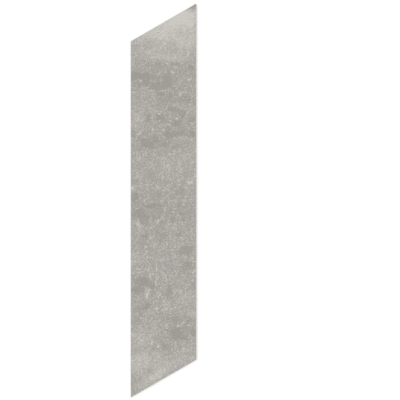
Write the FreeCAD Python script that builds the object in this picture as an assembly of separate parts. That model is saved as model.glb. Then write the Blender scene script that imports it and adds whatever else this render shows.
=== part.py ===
import FreeCAD, Part
import math
import os

# One hand of a chevron wall tile: a long flat strip of fired porcelain stoneware, pressed in one
# piece, whose two ends are cut parallel on a slant.  Laid beside its mirror image it closes the
# point of the chevron.
#
# Frame: X across the tile, Y along its long edges, Z up out of the decorated face.  The origin is
# the middle of the back, so the tile lies on its back with its face up.  All sizes are millimetres.

# The tile's outline and section
tile_width = 99.5        # from long edge to long edge
tile_length = 598.0      # from tip to tip, measured along the long edges
tile_thickness = 9.0     # from the ribs of the back to the face
end_slant = 30.0         # degrees that each end leans away from a square cut
corner_radius = 0.6      # the four upright corners, eased after grinding
face_bevel = 0.5         # ground arris round the face, at 45 degrees
back_bevel = 1.0         # broader bevel round the back, at 45 degrees

# The keyed back: a honeycomb of shallow pans that hold the adhesive
key_border = 7.0         # flat band from the tile's edges to the honeycomb
key_rib = 3.0            # flat crest between two pans
key_pitch = 15.0         # pan to pan, before it is evened out to fill the tile's width
key_depth = 0.7          # depth of a pan
key_draft = 40.0         # degrees that a pan's wall leans outward, for release from the punch
smallest_pan = 0.2       # a pan that the border cuts to less than this share is left flat

slant_rise = math.tan(math.radians(end_slant))         # climb along Y for each unit across X
slant_stretch = 1 / math.cos(math.radians(end_slant))  # an end's inset, measured along Y
long_edge = tile_length - tile_width * slant_rise
key_lean = key_depth * math.tan(math.radians(key_draft))


def outline(inset, height):
    """The tile's four corners, drawn in from all its edges by the same inset."""
    half_x = tile_width / 2 - inset
    half_y = long_edge / 2 - inset * slant_stretch
    corners = [(-half_x, -half_y), (half_x, -half_y), (half_x, half_y), (-half_x, half_y)]
    return [FreeCAD.Vector(x, y + x * slant_rise, height) for x, y in corners]


def hexagon(across_flats, height):
    """Six corners about the Z axis.  Two sides lie along Y, and two along an end cut at 30 degrees."""
    reach = across_flats / math.sqrt(3)
    angles = [math.radians(30 + 60 * corner) for corner in range(6)]
    return [FreeCAD.Vector(reach * math.cos(a), reach * math.sin(a), height) for a in angles]


def closed(points):
    return Part.makePolygon(points + points[:1])


def drafted(mouth, floor):
    """A solid between two polygons with the same number of corners, with flat walls that lean."""
    following = range(-1, len(mouth) - 1)
    walls = [[mouth[i], mouth[i + 1], floor[i + 1], floor[i]] for i in following]
    faces = [Part.Face(closed(points)) for points in [mouth, floor] + walls]
    return Part.makeSolid(Part.makeShell(faces))


def rim(solid, height):
    """The edges of a solid that lie level at one height."""
    return [e for e in solid.Edges if all(abs(v.Z - height) < 1e-6 for v in e.Vertexes)]


def ground_blank():
    """The tile before its back is keyed: ground sides, a bevel at each rim and eased corners."""
    upward = FreeCAD.Vector(0, 0, tile_thickness)
    blank = Part.Face(closed(outline(0, 0))).extrude(upward)
    blank = blank.makeChamfer(face_bevel, rim(blank, tile_thickness))
    blank = blank.makeChamfer(back_bevel, rim(blank, 0))
    eased = closed(outline(corner_radius, 0)).makeOffset2D(corner_radius)
    return blank.common(Part.Face(eased).extrude(upward))


def honeycomb():
    """Whole pans in staggered rows that run past the border on every side."""
    field = tile_width - 2 * key_border + key_rib
    columns = max(1, round(field / key_pitch))
    pitch = field / columns
    row_pitch = pitch * math.sqrt(3) / 2
    pan = drafted(hexagon(pitch - key_rib, 0), hexagon(pitch - key_rib - 2 * key_lean, key_depth))
    last_row = math.ceil(tile_length / 2 / row_pitch)
    pans = []
    for row in range(-last_row, last_row + 1):
        stagger = row % 2
        for column in range(columns + stagger):
            x = (column - (columns + stagger - 1) / 2) * pitch
            pans.append(pan.translated(FreeCAD.Vector(x, row * row_pitch, 0)))
    return pans


def keyed_back():
    """The pans that the back is pressed with, cut off along the flat border."""
    field = drafted(outline(key_border, 0), outline(key_border + key_lean, key_depth))
    kept = []
    for pan in honeycomb():
        inside = pan.common(field)
        if inside.Volume > smallest_pan * pan.Volume:
            kept.append(inside)
    return kept


def chevron_tile():
    return ground_blank().cut(keyed_back())


os.makedirs("parts", exist_ok=True)
tile = chevron_tile()
tile.exportStep("parts/chevron_tile.step")
print(f"long edge {long_edge:.2f} mm, volume {tile.Volume / 1000:.1f} cm3, {len(tile.Faces)} faces")
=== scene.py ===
import math
import bmesh
import bpy
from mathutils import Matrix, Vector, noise


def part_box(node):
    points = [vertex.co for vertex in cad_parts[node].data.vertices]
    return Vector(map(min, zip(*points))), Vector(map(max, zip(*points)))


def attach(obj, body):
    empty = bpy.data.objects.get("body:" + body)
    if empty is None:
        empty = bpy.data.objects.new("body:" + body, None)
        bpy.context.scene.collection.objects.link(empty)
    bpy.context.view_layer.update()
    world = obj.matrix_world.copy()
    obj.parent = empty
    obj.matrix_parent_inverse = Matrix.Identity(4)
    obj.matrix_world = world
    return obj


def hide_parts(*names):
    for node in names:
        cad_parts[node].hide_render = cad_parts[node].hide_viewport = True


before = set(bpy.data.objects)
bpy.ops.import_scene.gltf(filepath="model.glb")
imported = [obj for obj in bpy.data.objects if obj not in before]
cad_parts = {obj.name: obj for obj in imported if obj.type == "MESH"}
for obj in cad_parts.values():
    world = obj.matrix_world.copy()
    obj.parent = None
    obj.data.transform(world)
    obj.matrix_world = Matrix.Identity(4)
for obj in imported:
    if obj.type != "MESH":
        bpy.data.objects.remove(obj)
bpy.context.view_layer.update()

# The tile: a long strip of porcelain stoneware, pressed from dry powder in one piece, glazed and
# printed on its face, and fired once.  Its four sides are ground true after firing, and its back
# keeps the shallow honeycomb of the press.  It lies on its back on the floor.
tile_low, tile_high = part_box("chevron_tile")
face_height = tile_high.z
same_place = 1e-6            # points nearer than this are one point

body = bmesh.new()
body.from_mesh(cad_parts["chevron_tile"].data)
bmesh.ops.remove_doubles(body, verts=body.verts, dist=same_place)
flat_face = [face for face in body.faces if face.calc_center_median().z > face_height - same_place]
rim = {corner for face in flat_face for corner in face.verts}
bmesh.ops.delete(body, geom=flat_face, context="FACES_ONLY")
left_low, left_high = sorted((v for v in rim if v.co.x < 0), key=lambda v: v.co.y)
right_low, right_high = sorted((v for v in rim if v.co.x > 0), key=lambda v: v.co.y)

# The punch gives the face a slow, shallow roll, as trowelled concrete has.  It dies out before the
# ground rim, and no part of it stands above the rim.
face_cell = 0.0014           # spacing of the points that carry the relief
relief_depth = 0.00022       # a little more than the face has from its highest to its lowest
relief_margin = 0.007        # width over which the relief dies out
slow_roll = 0.034            # length of the long waves
trowel_roll = 0.009          # length of the ripples on them
middle_share = 0.5           # where the middle of the waves lies, as a share of the depth
slow_share = 0.42            # most that the waves add or take off, as a share of the depth
ripple_share = 0.2           # the same for the ripples

across = right_low.co - left_low.co
along = left_high.co - left_low.co
columns = round(across.x / face_cell)
rows = round(along.length / face_cell)


def relief(place, inset):
    """How far a point of the face lies below the rim."""
    slow = noise.noise(place / slow_roll)
    ripple = noise.noise(place / trowel_roll)
    share = middle_share + slow_share * slow + ripple_share * ripple
    fade = min(inset / relief_margin, 1)
    eased = fade * fade * (3 - 2 * fade)
    return relief_depth * max(share, 0) * eased


# The outermost line of points is still level with the rim.
face_points = []
for row in range(1, rows):
    line = []
    for column in range(1, columns):
        place = left_low.co + across * (column / columns) + along * (row / rows)
        cells_inside = min(column, columns - column, row, rows - row) - 1
        place.z -= relief(place, cells_inside * face_cell)
        line.append(body.verts.new(place))
    face_points.append(line)

for low_line, high_line in zip(face_points, face_points[1:]):
    for here in range(columns - 2):
        corners = (low_line[here], low_line[here + 1], high_line[here + 1], high_line[here])
        body.faces.new(corners).smooth = True


def seam(first, second, line):
    """Joins a straight edge of the rim, between its two corners, to a line of points beside it."""
    middle = len(line) // 2
    body.faces.new((first, second, line[middle]))
    for here in range(len(line) - 1):
        nearest = first if here < middle else second
        body.faces.new((nearest, line[here + 1], line[here]))


seam(left_low, right_low, face_points[0])
seam(right_low, right_high, [line[-1] for line in face_points])
seam(right_high, left_high, face_points[-1][::-1])
seam(left_high, left_low, [line[0] for line in face_points][::-1])

# What looks up is glazed, the sides and the bevel above them are ground, and the rest is as pressed.
FACE, SIDE, BACK = range(3)
glazed_above = 0.9           # the least Z in the normal of a glazed surface
ground_above = -0.3          # the least Z in the normal of a ground one
for face in body.faces:
    face.normal_update()
    upward = face.normal.z
    face.material_index = FACE if upward > glazed_above else SIDE if upward > ground_above else BACK

tile_mesh = bpy.data.meshes.new("glazed_tile")
body.to_mesh(tile_mesh)
body.free()
tile = bpy.data.objects.new("glazed_tile", tile_mesh)
bpy.context.scene.collection.objects.link(tile)

# The face is a matt glaze, 0.2 mm thick, with a printed image of trowelled concrete fired into it.
# The eye sees a warm grey with cloudy patches, crisp darker stains, pale lime marks and hairlines,
# and only a broad dull sheen.
silicate_ior = 1.5           # of glaze and of fired porcelain alike
mm_per_metre = 1000


def surface(name):
    """A new material, with its tree of nodes and its shader."""
    material = bpy.data.materials.new(name)
    material.use_nodes = True
    return material, material.node_tree, material.node_tree.nodes["Principled BSDF"]


def linear(hex_colour):
    """The linear RGBA of an sRGB colour such as "#ABA8A3"."""
    channels = [int(hex_colour[start:start + 2], 16) / 255 for start in (1, 3, 5)]
    return [c / 12.92 if c <= 0.04045 else ((c + 0.055) / 1.055) ** 2.4 for c in channels] + [1]


def add(tree, kind, inputs, **settings):
    """Adds a node: settings are its own, and inputs are values, or outputs of other nodes to link."""
    made = tree.nodes.new(kind)
    for name, value in settings.items():
        setattr(made, name, value)
    for name, value in inputs.items():
        if isinstance(value, bpy.types.NodeSocket):
            tree.links.new(value, made.inputs[name])
        else:
            made.inputs[name].default_value = value
    return made


def millimetres(tree):
    """The place on the tile, in millimetres from the middle of its back."""
    where = add(tree, "ShaderNodeTexCoord", {})
    scaled = add(
        tree,
        "ShaderNodeVectorMath",
        {0: where.outputs["Object"], "Scale": mm_per_metre},
        operation="SCALE",
    )
    return scaled.outputs[0]


glaze, tree, shader = surface("matt_glaze_printed_as_concrete")
shader.inputs["IOR"].default_value = silicate_ior

# Ragged outlines: noise pushes every mark about before it is drawn, once finely for the lime marks,
# and then broadly as well for the clouds and stains.
noise_middle = 0.5
noise_low, noise_high = 0.25, 0.75    # noise seldom goes beyond these
fine_drift = (4.5, 3)        # mm: the breadth of the noise, and of the span over which it pushes
broad_drift = (16, 9)
in_mm = millimetres(tree)
places = [in_mm]
for breadth, span in (fine_drift, broad_drift):
    drift = add(tree, "ShaderNodeTexNoise", {"Vector": places[-1], "Scale": 1 / breadth, "Detail": 2})
    centred = add(
        tree,
        "ShaderNodeVectorMath",
        {0: drift.outputs["Color"], 1: (noise_middle, noise_middle, noise_middle)},
        operation="SUBTRACT",
    )
    moved = add(
        tree,
        "ShaderNodeVectorMath",
        {0: centred.outputs[0], 1: (span, span, span), 2: places[-1]},
        operation="MULTIPLY_ADD",
    )
    places.append(moved.outputs[0])
nudged, ragged = places[1:]

spot_depth = 1000            # mm, so deep that a spot is as strong in the relief as on the rim


def marks(tree, place, spots):
    """Adds up soft oval spots, each (x, y, half length, half width, turn in degrees, strength).

    The lengths are in millimetres, and x and y start from the middle of the tile.
    """
    total = 0
    for x, y, half_length, half_width, turn, strength in spots:
        inside = add(
            tree,
            "ShaderNodeMapping",
            {
                "Vector": place,
                "Location": (x, y, face_height * mm_per_metre),
                "Rotation": (0, 0, math.radians(turn)),
                "Scale": (half_length, half_width, spot_depth),
            },
            vector_type="TEXTURE",
        )
        spot = add(
            tree,
            "ShaderNodeTexGradient",
            {"Vector": inside.outputs[0]},
            gradient_type="SPHERICAL",
        )
        sum_so_far = add(
            tree,
            "ShaderNodeMath",
            {0: spot.outputs["Fac"], 1: strength, 2: total},
            operation="MULTIPLY_ADD",
        )
        total = sum_so_far.outputs[0]
    return total


# Clouds: broad soft patches of shade.  A strength of 0.8 goes from the ground to the palest tone.
clouds = [
    (24, 283, 68, 30, 28, 1.04),      # pale cap along the upper end
    (44, 268, 18, 24, 0, 0.3),
    (14, 245, 64, 30, 18, 0.42),
    (38, 238, 28, 26, 0, 0.34),
    (-33, 251, 34, 16, 30, 0.5),
    (-7, 246, 18, 16, 0, 0.28),
    (17, 238, 8, 10, 0, -0.2),
    (50, 298, 23, 11, 30, -1.2),      # dark wedge at the upper tip
    (12, 216, 34, 11, 0, 0.47),
    (-22, 224, 34, 14, 0, 0.24),
    (-42, 186, 30, 20, 0, -0.22),     # dark band
    (0, 187, 28, 22, 0, -0.3),
    (34, 197, 30, 12, 0, -0.22),
    (16, 168, 16, 10, 0, -0.2),
    (2, 154, 16, 10, 0, -0.25),
    (33, 152, 28, 9, 0, -0.4),
    (-34, 162, 20, 12, 0, 0.12),
    (31, 145, 12, 7, 0, 0.15),
    (-40, 122, 26, 14, 90, 0.38),
    (-42, 101, 18, 12, 0, -0.2),
    (-6, 105, 14, 12, 0, 0.25),
    (12, 106, 46, 32, 0, -0.28),
    (25, 91, 16, 8, 0, 0.25),
    (-20, 86, 22, 12, 0, -0.25),
    (-38, 70, 16, 12, 0, 0.1),
    (8, 52, 34, 22, 0, 0.25),
    (36, 66, 22, 14, 0, 0.2),
    (-16, 40, 12, 14, 0, -0.2),
    (-38, 38, 18, 12, 0, 0.18),
    (26, 12, 12, 14, 0, -0.2),
    (47, 24, 10, 26, 0, 0.15),
    (-8, 5, 26, 14, 0, -0.2),
    (-42, 10, 14, 12, 0, -0.2),
    (-26, -14, 34, 20, 0, -0.2),
    (36, -16, 22, 18, 0, -0.22),
    (4, -20, 26, 18, 0, -0.32),
    (-36, -42, 14, 12, 0, 0.15),
    (17, -43, 16, 12, 0, 0.15),
    (-28, -62, 12, 14, -30, -0.2),
    (-6, -48, 18, 16, 0, -0.25),
    (5, -63, 12, 12, 0, -0.12),
    (24, -76, 16, 14, 0, 0.12),
    (47, -84, 10, 14, 0, -0.15),
    (-13, -82, 14, 16, 0, 0.12),
    (-42, -90, 16, 16, 0, 0.2),
    (33, -105, 16, 16, 0, -0.15),
    (-36, -130, 32, 20, 0, -0.35),
    (-24, -140, 8, 12, 0, 0.5),
    (46, -127, 8, 9, 0, -0.3),
    (9, -142, 12, 14, 0, -0.3),
    (32, -148, 24, 18, 0, 0.25),
    (45, -172, 10, 9, 0, 0.5),
    (13, -164, 18, 8, 0, 0.15),
    (-30, -160, 18, 12, 45, -0.25),
    (22, -181, 34, 10, 0, -0.25),
    (27, -202, 26, 16, 0, -0.3),
    (2, -222, 16, 10, 30, -0.15),
    (36, -222, 20, 12, 0, 0.1),
    (-37, -210, 32, 26, 0, 0.32),
    (-12, -186, 14, 12, 0, 0.12),
    (-34, -243, 40, 22, 10, 0.55),
    (14, -246, 46, 16, 25, 0.36),
    (-14, -268, 40, 12, 30, 0.55),    # pale lower end
    (-36, -260, 20, 12, 0, 0.25),
    (-26, -258, 16, 5, 0, -0.25),
]
# Stains: darker patches with a crisp edge.
stains = [
    (-43, 188.5, 20, 9.5, 0, 1),
    (-28, 184, 9, 15, 0, 1),
    (-19, 187, 8, 5, 0, 0.85),
    (-34, 176, 12, 7, 0, 0.85),
    (-8, 174, 22, 10, 0, 1),
    (7, 183, 12, 14, 0, 0.75),
    (18, 207, 13, 5, 0, 0.8),
    (-8, 207, 11, 4, 0, 0.7),
    (43, 202, 10, 8, 0, 0.55),
    (-3, 161, 11, 6, 0, 0.9),
    (12, 159.5, 7, 4, 0, 0.8),
    (11, 138.5, 10, 5, 0, 1.1),
    (25, 135.5, 15, 5, -8, 1.15),
    (27, 131, 7, 6, 0, 1),
    (-6, 125.5, 12, 11, 0, 0.9),
    (-22, 125, 9, 9, 0, 0.8),
    (20, 118, 17, 8, 10, 0.75),
    (42, 122, 10, 10, 0, 0.8),
    (11, 100, 17, 10, 0, 0.95),
    (29, 104, 12, 7, 0, 0.55),
    (44.5, 101, 9, 10, 0, 0.8),
    (-23, 86, 19, 10, -25, 1),
    (-34, 95, 11, 5, 0, 0.9),
    (-12, 95, 6, 10, 0, 0.9),
    (1, 85, 9, 6, 0, 0.9),
    (-44, 6, 14, 11, 0, 1),
    (-20, -8, 16, 8, 0, 0.85),
    (-5, -8, 10, 4, 0, 0.7),
    (-36, -21, 15, 10, -45, 1.3),
    (-28, -31, 11, 10, 0, 1.1),
    (-48, -22, 6, 10, 0, 0.6),
    (-12, -24, 11, 6, 0, 0.45),
    (-2, -34, 8, 5, 0, 0.7),
    (24, -8.5, 6, 4, 0, 0.75),
    (13, -27, 7, 4.5, 0, 0.75),
    (28.5, -20, 5, 5, 0, 0.75),
    (31, -30, 5, 5, 0, 0.75),
    (22, -52, 7, 6, 0, 0.8),
    (-28, -56, 10, 8, 0, 0.8),
    (33, -76, 15, 11, 15, 1.3),
    (38, -97, 10, 6, 0, 0.9),
    (-32, -122.5, 18, 9, -12, 0.95),
    (-15.5, -130.5, 6, 7, 0, 0.85),
    (-42, -135, 12, 9, 0, 0.7),
    (-32, -137, 6, 7, 0, 0.65),
    (9, -137, 7, 16, 0, 0.6),
    (-27, -162, 13, 7, 55, 0.9),
    (19.5, -203, 13, 13, 0, 1.15),
    (6, -197, 8, 6, 0, 0.6),
    (32, -208, 10, 5, 0, 0.7),
    (45, -202, 6, 7, 0, 0.8),
    (0, -222, 12, 6, 35, 0.6),
    (34, -185, 14, 5, 25, 0.75),
]
# Lime marks: pale flecks, scratches and the hairlines of a trowel's edge.
lime_marks = [
    (27, 231, 3, 11, 5, 0.6),
    (13, 195, 6, 2, -55, 1.4),
    (-34.5, 181.5, 3.4, 3, 0, 1.6),
    (39, 183.5, 4, 3.4, 0, 1.1),
    (31, 163.5, 25, 1.5, 0, 0.65),
    (25, 161, 3.5, 2.6, 0, 0.9),
    (-6, 131, 3.6, 3, 0, 1),
    (20, 123, 2.6, 3, 0, 1),
    (43, 117, 3, 3.2, 0, 1.1),
    (8.5, 115, 3.6, 3, 0, 1),
    (-16, 108, 3, 6, 0, 1),
    (-37, 101, 5, 3, 0, 1),
    (-37, 62, 3.4, 6, -20, 0.8),
    (27, 46, 2.8, 9, -25, 0.7),
    (38.5, 27, 3.4, 5, 15, 1.3),
    (43, 28, 3, 4.4, -20, 1.2),
    (-48, 19, 5, 3, 0, 1.4),
    (-10, 21, 7, 2.6, -40, 0.75),
    (-34, 26, 4, 3, 0, 0.8),
    (30.5, -6, 2.4, 2.4, 0, 1.1),
    (15.5, -17.5, 3.6, 3, 0, 1),
    (21.5, -22, 4, 2.4, -30, 0.9),
    (-39, -36, 6, 8, 30, 0.8),
    (2, -14, 11, 1.9, 82, 0.8),       # the long curve of a trowel's edge
    (-2, -25, 9, 1.9, 55, 0.74),
    (-9.5, -33.5, 10, 1.9, 45, 0.7),
    (-18, -41, 9, 1.9, 35, 0.76),
    (-20, -55, 9, 2.2, -40, 0.8),
    (-14, -66, 10, 2, 80, 0.8),
    (-26.5, -70.5, 2.8, 3.2, 0, 1.2),
    (5, -66, 2.2, 8, 0, 0.8),
    (-42, -81, 12, 2, 12, 0.7),
    (-3, -90, 10, 1.8, 0, 0.8),
    (-10.5, -102, 24, 1.9, 91, 0.8),  # hairline along the tile
    (-11.5, -125, 17, 1.9, 88, 0.75),
    (4, -119, 2, 9, 20, 0.7),
    (-22.5, -104.5, 2.2, 4, 0, 1.4),
    (-20, -115, 9, 2, 110, 1),
    (-16, -112, 4, 2.4, 0, 1),
    (-37, -104, 7, 2.2, 0, 0.9),
    (-21, -135, 5, 3, 20, 0.8),
    (-26.5, -135, 9, 1.8, 75, 0.9),
    (-25.5, -144, 2.8, 6, -10, 1.2),
    (16, -138, 9, 1.8, -45, 0.6),
    (26.5, -138, 3.6, 3, 0, 1.2),
    (44, -121, 2.4, 3, 0, 1.1),
    (1, -153, 5, 3, 0, 0.8),
    (-11, -164, 7, 4, 0, 0.75),
    (12, -165, 10, 5, 0, 0.55),
    (29, -187, 12, 1.5, 22, 1),
    (20, -191, 8, 1.5, 8, 0.6),
    (-12, -194, 5, 3, 0, 0.7),
    (3.5, -201, 2.2, 5, 0, 0.8),
    (-34, -212, 4, 3, 0, 0.9),
    (-18, -216.5, 2.6, 4, 0, 2.4),
    (-8, -222, 2.6, 3.4, 0, 1.5),
    (30, -225.5, 4, 3.2, 20, 1.4),
    (4, -238, 4.6, 2.4, 0, 0.8),
    (-36, -243, 4, 2.4, 0, 1),
    (-6, -267, 4, 2.6, 0, 1.2),
    (-18, -271, 4, 2, 30, 1),
]
cloud_sum = marks(tree, ragged, clouds)
stain_sum = marks(tree, ragged, stains)
lime_sum = marks(tree, nudged, lime_marks)

# Mottling of the cement, from thumb-sized drifts down to the sand grains.  The grains are drawn
# 2.3 mm across, about three times their real size, so that they show.
mottle_size = 10             # mm
mottle_tone = 0.27           # how much darker or paler it makes the print
grain_size = 2.3             # mm
grain_tone = 0.82
mottle = add(
    tree,
    "ShaderNodeTexNoise",
    {"Vector": in_mm, "Scale": 1 / mottle_size, "Detail": 3, "Roughness": 0.7},
)
grains = add(
    tree,
    "ShaderNodeTexNoise",
    {"Vector": in_mm, "Scale": 1 / grain_size, "Detail": 3, "Roughness": 0.6},
)

# Fine pale threads, as laitance dries in the marks of the trowel.  They lie where a noise drawn out
# in one direction passes its middle value, and the trowel went in three.
thread_spacing = 9           # mm
thread_stretch = 3.5         # how much longer the noise is drawn along a thread than across it
thread_width = 0.04          # how far the noise may be from its middle value
thread_tone = 0.17           # how much paler a thread makes the print
trowel_turns = (12, 58, 105)     # degrees from X
threads = []
for turn in trowel_turns:
    drawn_out = add(
        tree,
        "ShaderNodeMapping",
        {
            "Vector": nudged,
            "Rotation": (0, 0, math.radians(turn)),
            "Scale": (thread_spacing * thread_stretch, thread_spacing, thread_spacing),
        },
        vector_type="TEXTURE",
    )
    strokes = add(
        tree,
        "ShaderNodeTexNoise",
        {"Vector": drawn_out.outputs[0], "Scale": 1, "Detail": 2},
    )
    from_middle = add(
        tree,
        "ShaderNodeMath",
        {0: strokes.outputs["Fac"], 1: noise_middle},
        operation="SUBTRACT",
    )
    off_thread = add(tree, "ShaderNodeMath", {0: from_middle.outputs[0]}, operation="ABSOLUTE")
    thread = add(
        tree,
        "ShaderNodeMapRange",
        {"Value": off_thread.outputs[0], "From Max": thread_width, "To Min": thread_tone, "To Max": 0},
    )
    threads.append(thread)

# The tone is 1 where the print is palest and about 0 in its darker patches.  It falls lower in the
# stains, though the colours there are only a little darker.
lowest_tone, palest_tone = -0.6, 1
ground_tone = 0.22           # between the clouds
clouded = add(tree, "ShaderNodeMath", {0: cloud_sum, 1: ground_tone}, operation="ADD")
mottled, grained = [
    add(
        tree,
        "ShaderNodeMapRange",
        {
            "Value": pattern.outputs["Fac"],
            "From Min": noise_low,
            "From Max": noise_high,
            "To Min": -most_tone,
            "To Max": most_tone,
        },
        clamp=False,
    )
    for pattern, most_tone in ((mottle, mottle_tone), (grains, grain_tone))
]

# Laitance, the milk of the cement, hides nearly half of the mottling, the sand and the threads where
# the clouds are palest.
milky_from, milky_to = 0.2, 0.6      # tones at which the clouds begin to hide them, and hide most
least_sand = 0.55                    # share that still shows
sand = mottled
for layer in (grained, *threads):
    sand = add(tree, "ShaderNodeMath", {0: sand.outputs[0], 1: layer.outputs[0]}, operation="ADD")
sand_share = add(
    tree,
    "ShaderNodeMapRange",
    {
        "Value": clouded.outputs[0],
        "From Min": milky_from,
        "From Max": milky_to,
        "To Min": 1,
        "To Max": least_sand,
    },
)
sand_shown = add(
    tree,
    "ShaderNodeMath",
    {0: sand.outputs[0], 1: sand_share.outputs[0]},
    operation="MULTIPLY",
)

# A stain's edge breaks up along the mottling and the grains, whose pale parts eat into it.
stain_from, stain_full = 0.25, 0.45  # strengths at which a stain begins and is at its darkest
stain_tone = -0.48                   # how much darker it then makes the print
mottle_pull, grain_pull = -0.6, -0.35
crumbled = stain_sum
for layer, pull in ((mottled, mottle_pull), (grained, grain_pull)):
    nibbled = add(
        tree,
        "ShaderNodeMath",
        {0: layer.outputs[0], 1: pull, 2: crumbled},
        operation="MULTIPLY_ADD",
    )
    crumbled = nibbled.outputs[0]
stained = add(
    tree,
    "ShaderNodeMapRange",
    {"Value": crumbled, "From Min": stain_from, "From Max": stain_full, "To Max": stain_tone},
    interpolation_type="SMOOTHSTEP",
)
tone = clouded
for layer in (sand_shown, stained):
    tone = add(tree, "ShaderNodeMath", {0: tone.outputs[0], 1: layer.outputs[0]}, operation="ADD")

# Lime lies over all of this and covers most of it, in a stain as much as beside one.
lime_from, lime_full = 0.1, 0.8      # strengths at which lime begins and is at its thickest
lime_cover = 0.8                     # share of the print that it then hides
limed = add(
    tree,
    "ShaderNodeMapRange",
    {"Value": lime_sum, "From Min": lime_from, "From Max": lime_full, "To Max": lime_cover},
    interpolation_type="SMOOTHSTEP",
)
covered = add(
    tree,
    "ShaderNodeMix",
    {"Factor": limed.outputs[0], "A": tone.outputs[0], "B": palest_tone},
)

# The inks: one warm grey from the lowest tone to the palest.
darkest_ink = "#9A968F"
inks = ((0, "#A09C95"), (0.3, "#ABA7A2"), (0.6, "#B8B5AE"), (palest_tone, "#D2CEC8"))
shade = add(
    tree,
    "ShaderNodeMapRange",
    {"Value": covered.outputs["Result"], "From Min": lowest_tone, "From Max": palest_tone},
)
print_colours = add(tree, "ShaderNodeValToRGB", {"Fac": shade.outputs[0]})
stops = print_colours.color_ramp.elements
stops.remove(stops[1])
stops[0].color = linear(darkest_ink)
for level, ink in inks:
    stop = stops.new((level - lowest_tone) / (palest_tone - lowest_tone))
    stop.color = linear(ink)
tree.links.new(print_colours.outputs["Color"], shader.inputs["Base Color"])

# The glaze is matt all over, a little more so in patches, with the faint ripple of orange peel.
least_rough, most_rough = 0.52, 0.64
peel_size = 1.6              # mm
peel_depth = 0.00006         # metres
dullness = add(
    tree,
    "ShaderNodeMapRange",
    {
        "Value": mottle.outputs["Fac"],
        "From Min": noise_low,
        "From Max": noise_high,
        "To Min": least_rough,
        "To Max": most_rough,
    },
)
tree.links.new(dullness.outputs[0], shader.inputs["Roughness"])
orange_peel = add(tree, "ShaderNodeTexNoise", {"Vector": in_mm, "Scale": 1 / peel_size, "Detail": 2})
bump = add(
    tree,
    "ShaderNodeBump",
    {"Height": orange_peel.outputs["Fac"], "Strength": 1, "Distance": peel_depth},
)
tree.links.new(bump.outputs["Normal"], shader.inputs["Normal"])
tile_mesh.materials.append(glaze)

# The sides are bare porcelain, ground with wet diamond wheels that run along them.  They are dead
# matt, with faint lines along their length.  The bevel at the top cuts through the glaze, which
# turns paler where it is ground, and the white engobe under it.  They show as two thin bands, whose
# pale colours are partly these real layers and partly a painted highlight along the rim.
glaze_depth = 0.22           # mm below the face
engobe_depth = 0.42          # mm below the face
band_softness = 0.06         # mm, because the bands run into each other in the firing
wheel_line_width = 0.7       # mm, several times the real one, so that the lines show
wheel_line_stretch = 50      # how much longer a line is than it is wide
wheel_line_depth = 0.00004   # metres
speckle_size = 1.5           # mm, coarser than the real powder, so that it shows
dark_body, pale_body = "#A09B92", "#BBB6AD"
all_dark, all_pale = 0.14, 0.38      # where the lines times the speckle reach either colour
# Both band colours are made paler as a painted highlight along the bevel, which gets less of the lamp
# than the face.
white_engobe_and_rim_highlight = "#E4E1DA"
ground_glaze_and_rim_highlight = "#BFBCB6"
ground_side, tree, shader = surface("diamond_ground_porcelain")
shader.inputs["IOR"].default_value = silicate_ior
shader.inputs["Roughness"].default_value = 0.75
in_mm = millimetres(tree)
shortened = 1 / wheel_line_stretch
stretched = add(tree, "ShaderNodeMapping", {"Vector": in_mm, "Scale": (shortened, shortened, 1)})
wheel_lines = add(
    tree,
    "ShaderNodeTexNoise",
    {"Vector": stretched.outputs[0], "Scale": 1 / wheel_line_width, "Detail": 2},
)
body_speckle = add(
    tree,
    "ShaderNodeTexNoise",
    {"Vector": in_mm, "Scale": 1 / speckle_size, "Detail": 2},
)
lined = add(
    tree,
    "ShaderNodeMath",
    {0: wheel_lines.outputs["Fac"], 1: body_speckle.outputs["Fac"]},
    operation="MULTIPLY",
)
pale_share = add(
    tree,
    "ShaderNodeMapRange",
    {"Value": lined.outputs[0], "From Min": all_dark, "From Max": all_pale},
)
speckled = add(
    tree,
    "ShaderNodeMix",
    {"Factor": pale_share.outputs[0], "A": linear(dark_body), "B": linear(pale_body)},
    data_type="RGBA",
)
height = add(tree, "ShaderNodeSeparateXYZ", {0: in_mm})
layered = speckled
for depth, colour in ((engobe_depth, white_engobe_and_rim_highlight), (glaze_depth, ground_glaze_and_rim_highlight)):
    level = face_height * mm_per_metre - depth
    above = add(
        tree,
        "ShaderNodeMapRange",
        {"Value": height.outputs["Z"], "From Min": level, "From Max": level + band_softness},
    )
    layered = add(
        tree,
        "ShaderNodeMix",
        {"Factor": above.outputs[0], "A": layered.outputs["Result"], "B": linear(colour)},
        data_type="RGBA",
    )
tree.links.new(layered.outputs["Result"], shader.inputs["Base Color"])
bump = add(
    tree,
    "ShaderNodeBump",
    {"Height": wheel_lines.outputs["Fac"], "Strength": 1, "Distance": wheel_line_depth},
)
tree.links.new(bump.outputs["Normal"], shader.inputs["Normal"])
tile_mesh.materials.append(ground_side)

# The back is the same porcelain as it left the press and the kiln, with a chalky wash on its ribs
# that keeps it from sticking to the rollers.  The eye sees pale smears on the ribs and a bare warm
# grey in the pans.
wash_full, wash_gone = 0.05, 0.3     # mm above the plane of the ribs
patch_size = 14                      # mm
patch_low, patch_high = 0.4, 0.6     # where the noise turns from thin wash to thick
thin_wash, thick_wash = 0.15, 0.9    # shares of the porcelain that the wash hides
bare_body = "#A8A196"
chalky_wash = "#D9D6CF"
pressed_back, tree, shader = surface("pressed_porcelain_with_kiln_wash")
shader.inputs["IOR"].default_value = silicate_ior
shader.inputs["Roughness"].default_value = 0.85
in_mm = millimetres(tree)
height = add(tree, "ShaderNodeSeparateXYZ", {0: in_mm})
wash_patches = add(
    tree,
    "ShaderNodeTexNoise",
    {"Vector": in_mm, "Scale": 1 / patch_size, "Detail": 4},
)
on_ribs = add(
    tree,
    "ShaderNodeMapRange",
    {
        "Value": height.outputs["Z"],
        "From Min": wash_full,
        "From Max": wash_gone,
        "To Min": 1,
        "To Max": 0,
    },
)
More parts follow.
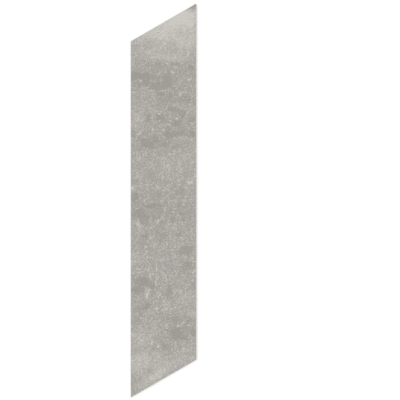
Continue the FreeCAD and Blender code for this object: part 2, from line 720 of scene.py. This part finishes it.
patchy = add(
    tree,
    "ShaderNodeMapRange",
    {
        "Value": wash_patches.outputs["Fac"],
        "From Min": patch_low,
        "From Max": patch_high,
        "To Min": thin_wash,
        "To Max": thick_wash,
    },
)
wash = add(
    tree,
    "ShaderNodeMath",
    {0: on_ribs.outputs[0], 1: patchy.outputs[0]},
    operation="MULTIPLY",
)
washed = add(
    tree,
    "ShaderNodeMix",
    {"Factor": wash.outputs[0], "A": linear(bare_body), "B": linear(chalky_wash)},
    data_type="RGBA",
)
tree.links.new(washed.outputs["Result"], shader.inputs["Base Color"])
tile_mesh.materials.append(pressed_back)

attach(tile, "root")
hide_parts("chevron_tile")

# The floor: a level studio floor, painted matt white.  It keeps the tile's shadow, and its open
# parts are seen as plain white.
floor_reach = 15             # metres from its middle to each side
floor_colour = 0.75
floor_lift = 0.385           # brings the lit floor up to white where it is seen


def seen(tree):
    """1 for what the camera sees, also in gloss or glass, and 0 for the light on things."""
    ray = add(tree, "ShaderNodeLightPath", {})
    in_view = ray.outputs["Is Camera Ray"]
    for way in ("Is Glossy Ray", "Is Transmission Ray"):
        either = add(tree, "ShaderNodeMath", {0: in_view, 1: ray.outputs[way]}, operation="MAXIMUM")
        in_view = either.outputs[0]
    return in_view


floor_mesh = bpy.data.meshes.new("studio_floor")
quarters = ((-1, -1), (1, -1), (1, 1), (-1, 1))
floor_corners = [(x * floor_reach, y * floor_reach, 0) for x, y in quarters]
floor_mesh.from_pydata(floor_corners, [], [(0, 1, 2, 3)])
floor = bpy.data.objects.new("studio_floor", floor_mesh)
bpy.context.scene.collection.objects.link(floor)
matt_white, tree, shader = surface("matt_white_floor")
shader.inputs["Base Color"].default_value = (floor_colour, floor_colour, floor_colour, 1)
shader.inputs["Roughness"].default_value = 1
shader.inputs["Specular IOR Level"].default_value = 0
shader.inputs["Emission Color"].default_value = (1, 1, 1, 1)
lift = add(tree, "ShaderNodeMath", {0: seen(tree), 1: floor_lift}, operation="MULTIPLY")
tree.links.new(lift.outputs[0], shader.inputs["Emission Strength"])
floor_mesh.materials.append(matt_white)

# The light: nearly half of it comes from an even white room, and the rest from one broad lamp that
# hangs almost overhead.  Under both together, a colour renders about as it is written.
room_share = 0.4             # how bright each makes a white sheet, where 1 is full white
lamp_share = 0.472
lamp_breadth = 32            # degrees across, as the tile sees it
lamp_tilt = (-6, -7, 0)      # degrees about X, Y and Z
lamp = bpy.data.lights.new("overhead_lamp", "SUN")
lamp.energy = math.pi * lamp_share
lamp.angle = math.radians(lamp_breadth)
lamp_stand = bpy.data.objects.new("overhead_lamp", lamp)
lamp_stand.rotation_euler = [math.radians(turn) for turn in lamp_tilt]
bpy.context.scene.collection.objects.link(lamp_stand)

room = bpy.data.worlds.new("white_room")
bpy.context.scene.world = room
room.use_nodes = True
tree = room.node_tree
background = tree.nodes["Background"]
background.inputs["Color"].default_value = (1, 1, 1, 1)
# Where the room itself is seen, it is full white.
strength = add(
    tree,
    "ShaderNodeMath",
    {0: seen(tree), 1: 1 - room_share, 2: room_share},
    operation="MULTIPLY_ADD",
)
tree.links.new(strength.outputs[0], background.inputs["Strength"])

# The camera looks straight down from far off.  The photograph is 400 pixels square, and the tile's
# width and centre in it set the camera's distance and place.
frame_pixels = 400
tile_width_pixels = 65.6
tile_centre_pixels = (163.5, 200.46)         # from the photograph's upper left corner
lens = 135                                   # mm
pixel = (tile_high.x - tile_low.x) / tile_width_pixels       # metres on the tile
camera = bpy.data.cameras.new("photograph_camera")
camera.lens = lens
distance = frame_pixels * pixel * lens / camera.sensor_width
camera_stand = bpy.data.objects.new("photograph_camera", camera)
camera_stand.location = (
    (frame_pixels / 2 - tile_centre_pixels[0]) * pixel,
    (tile_centre_pixels[1] - frame_pixels / 2) * pixel,
    face_height + distance,
)
bpy.context.scene.collection.objects.link(camera_stand)
bpy.context.scene.camera = camera_stand
bpy.context.scene.view_settings.view_transform = "Standard"
